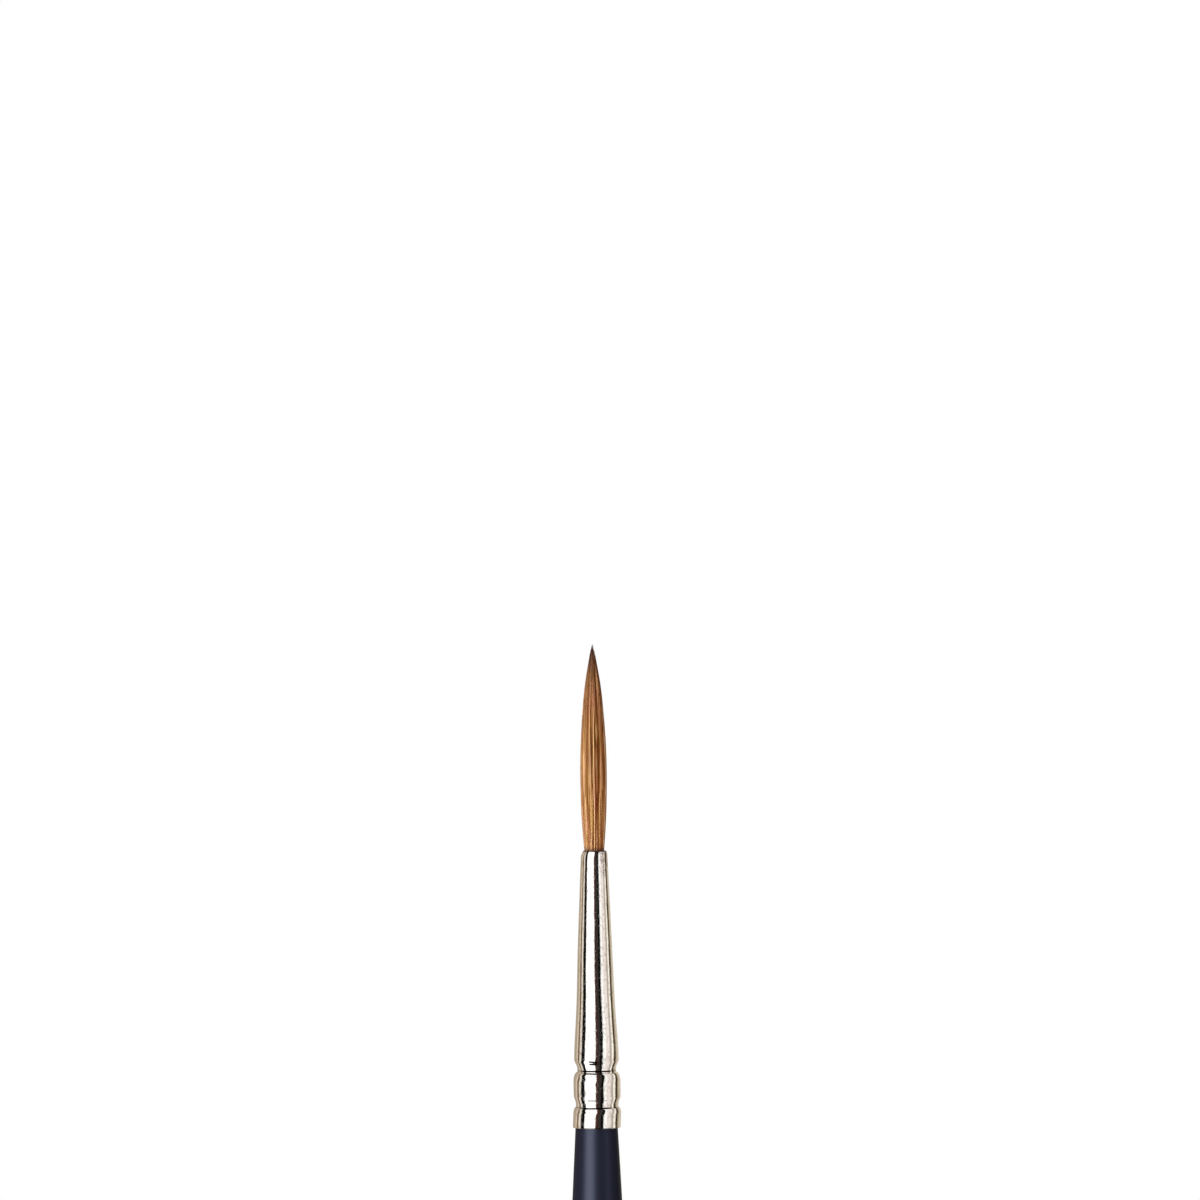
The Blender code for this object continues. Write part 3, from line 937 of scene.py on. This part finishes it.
# What stands round the brush: cards from one azimuth to another, in degrees (0 is -Y, to the
# camera, and + is to the right), and how bright each looks in the ferrule. Between two cards
# the light changes evenly.
LEFT_CARDS = (
    (-180.0, -128.0, (0.42, 0.35, 0.26)),
    (-122.0, -114.0, (0.67, 0.55, 0.43)),
    (-108.5, -101.0, (0.13, 0.09, 0.05)),
    (-96.0, -86.0, (0.76, 0.69, 0.60)),
    (-81.5, -62.8, (0.005, 0.005, 0.005)),
    (-59.5, -7.0, (1.25, 1.25, 1.25)),
    (-3.0, 0.0, (0.055, 0.022, 0.014)),
)
RIGHT_CARDS = (
    (0.0, 5.0, (0.055, 0.022, 0.014)),
    (9.0, 18.0, (0.034, 0.030, 0.027)),
    (22.0, 32.5, (0.003, 0.003, 0.003)),
    (37.0, 48.0, (1.00, 1.00, 0.99)),
    (53.0, 73.0, (0.84, 0.77, 0.73)),
    (77.0, 87.0, (0.46, 0.41, 0.36)),
    (91.0, 100.0, (0.97, 0.92, 0.82)),
    (105.5, 117.5, (0.045, 0.030, 0.013)),
    (122.0, 128.0, (0.34, 0.28, 0.19)),
    (134.0, 180.0, (0.60, 0.53, 0.43)),
)
CARD_LEAN = 0.055
CARD_STRENGTH = 1.12
CARD_SPREAD = 0.68
FLOOR_RADIUS = 0.9
FLOOR_RINGS = 12
FLOOR_SIDES = 96


def card_ramp(tree, azimuth, cards):
    """The light from a row of cards, by azimuth."""
    low = cards[0][0]
    high = cards[-1][1]
    place = scaled(tree, azimuth, math.radians(low), math.radians(high))
    stops = []
    for start, end, colour in cards:
        stops.append(((start - low) / (high - low), colour))
        stops.append(((end - low) / (high - low), colour))
    return ramp(tree, place, stops)


def light_studio():
    """A white backdrop for the camera, and cards, light and dark, that everything else sees."""
    world = bpy.data.worlds.new("studio")
    bpy.context.scene.world = world
    world.use_nodes = True
    tree = world.node_tree
    tree.nodes.clear()
    way = node(tree, "ShaderNodeTexCoord").outputs["Generated"]
    parts = node(tree, "ShaderNodeSeparateXYZ", Vector=way)
    azimuth = reckon(tree, "ARCTAN2", parts.outputs["X"], product(tree, parts.outputs["Y"], -1.0))
    lean = scaled(tree, parts.outputs["Z"], -0.1, 0.1, CARD_LEAN, -CARD_LEAN)
    steep = reckon(tree, "ABSOLUTE", parts.outputs["Z"])
    spread = scaled(tree, steep, 0.2, 0.9, 1.0, CARD_SPREAD)
    leant = reckon(tree, "ADD", product(tree, azimuth, spread), lean)
    rightward = scaled(tree, leant, -0.001, 0.001)
    cards = mixed(tree, rightward, card_ramp(tree, leant, LEFT_CARDS),
                  card_ramp(tree, leant, RIGHT_CARDS))
    overhead = scaled(tree, parts.outputs["Z"], 0.90, 0.96)
    cards = mixed(tree, overhead, cards, (0.003, 0.003, 0.003, 1.0))
    glow = node(tree, "ShaderNodeBackground", Color=cards, Strength=CARD_STRENGTH)
    plain = node(tree, "ShaderNodeBackground", Color=(1.0, 1.0, 1.0, 1.0), Strength=1.0)
    seen = node(tree, "ShaderNodeLightPath").outputs["Is Camera Ray"]
    both = node(tree, "ShaderNodeMixShader", i0=seen, i1=glow.outputs[0], i2=plain.outputs[0])
    node(tree, "ShaderNodeOutputWorld", Surface=both.outputs[0])


def make_floor():
    """A plain pale floor that fades out before it ends."""
    rings = [(0.0, FLOOR_RADIUS * step / FLOOR_RINGS) for step in range(FLOOR_RINGS + 1)]
    mesh = turned_mesh("floor", rings, FLOOR_SIDES)
    material, tree, shader = principled("pale_floor", 0.75)
    shader.inputs["Base Color"].default_value = (0.86, 0.86, 0.85, 1.0)
    place = node(tree, "ShaderNodeTexCoord").outputs["Object"]
    away = node(tree, "ShaderNodeVectorMath", {"operation": "LENGTH"}, i0=place)
    edge = scaled(tree, away.outputs["Value"], 0.45 * FLOOR_RADIUS, 0.98 * FLOOR_RADIUS)
    gone = node(tree, "ShaderNodeBsdfTransparent")
    both = node(tree, "ShaderNodeMixShader", i0=edge, i1=shader.outputs[0], i2=gone.outputs[0])
    tree.links.new(both.outputs[0], tree.nodes["Material Output"].inputs["Surface"])
    mesh.materials.append(material)
    floor = bpy.data.objects.new("floor", mesh)
    bpy.context.scene.collection.objects.link(floor)
    floor.visible_glossy = False


# Softboxes: azimuth in degrees, height above the floor, distance, width, height, power in watts,
# and the one kind of piece that it puts a highlight on (None: it lights every piece)
LAMPS = {
    "key": (-24.0, 0.34, 0.70, 0.45, 0.45, 7.4, None),
    "fill": (40.0, 0.26, 0.80, 0.40, 0.40, 1.6, None),
    "back": (172.0, 0.30, 0.80, 0.45, 0.45, 5.5, None),
    "handle_sheen": (-37.0, 0.16, 0.60, 0.48, 0.50, 38.0, "coat"),
    "handle_glint": (54.0, 0.16, 0.60, 0.22, 0.50, 2.6, "coat"),
    "hair_sheen": (-60.0, 0.24, 0.60, 0.30, 0.50, 7.0, "hair"),
}
OVERHEAD_POWER = 5.0


def aim(lamp, target):
    """Turn a lamp towards a point."""
    lamp.rotation_euler = (target - lamp.location).to_track_quat("-Z", "Y").to_euler()


def soft_lamp(name, place, size, power):
    """A rectangular softbox, aimed at the brush, that gives light and no highlight."""
    data = bpy.data.lights.new(name, "AREA")
    data.shape = "RECTANGLE"
    data.size, data.size_y = size
    data.energy = power
    lamp = bpy.data.objects.new(name, data)
    lamp.location = place
    lamp.visible_camera = False
    lamp.visible_glossy = False
    aim(lamp, Vector((0.0, 0.0, min(place.z, MOUTH_HEIGHT))))
    bpy.context.scene.collection.objects.link(lamp)
    return lamp


def light_lamps(receivers):
    """The softboxes round the brush, some of them for one kind of piece, and one overhead."""
    # The pieces of each kind, for the lamps that only put a highlight on that kind
    alone = {}
    for kind, pieces in receivers.items():
        alone[kind] = bpy.data.collections.new("lit_alone_" + kind)
        for piece in pieces:
            alone[kind].objects.link(piece)
    for name, (azimuth, height, distance, width, tall, power, kind) in LAMPS.items():
        turn = math.radians(azimuth)
        place = Vector((distance * math.sin(turn), -distance * math.cos(turn), height))
        lamp = soft_lamp(name, place, (width, tall), power)
        if kind:
            lamp.visible_glossy = True
            lamp.visible_diffuse = False
            lamp.light_linking.receiver_collection = alone[kind]
    overhead = soft_lamp("overhead", Vector((-0.25, -0.25, 0.95)), (0.6, 0.6), OVERHEAD_POWER)
    aim(overhead, Vector((0.0, 0.0, 0.1)))


CAMERA_DISTANCE = 0.76
FIELD_WIDTH = 0.150
CAMERA_LEVEL = 0.2059
CAMERA_SIDE = 0.00101
CAMERA_ROLL = math.radians(0.515)
SENSOR_WIDTH = 36.0


def place_camera():
    """A level camera in front of the brush, a little above its point, with the brush upright."""
    data = bpy.data.cameras.new("camera")
    data.sensor_width = SENSOR_WIDTH
    data.lens = SENSOR_WIDTH * CAMERA_DISTANCE / FIELD_WIDTH
    data.clip_start = 0.01
    data.clip_end = 20.0
    camera = bpy.data.objects.new("camera", data)
    camera.location = (CAMERA_SIDE, -CAMERA_DISTANCE, CAMERA_LEVEL)
    level = Matrix.Rotation(math.radians(90.0), 4, "X")
    camera.rotation_euler = (level @ Matrix.Rotation(-CAMERA_ROLL, 4, "Z")).to_euler()
    bpy.context.scene.collection.objects.link(camera)
    bpy.context.scene.camera = camera


bpy.context.scene.view_settings.view_transform = "Standard"
place_camera()
light_studio()
make_floor()
make_ferrule()
light_lamps({"coat": [make_handle_coat()], "hair": make_tuft()})
dress_cad_nodes()
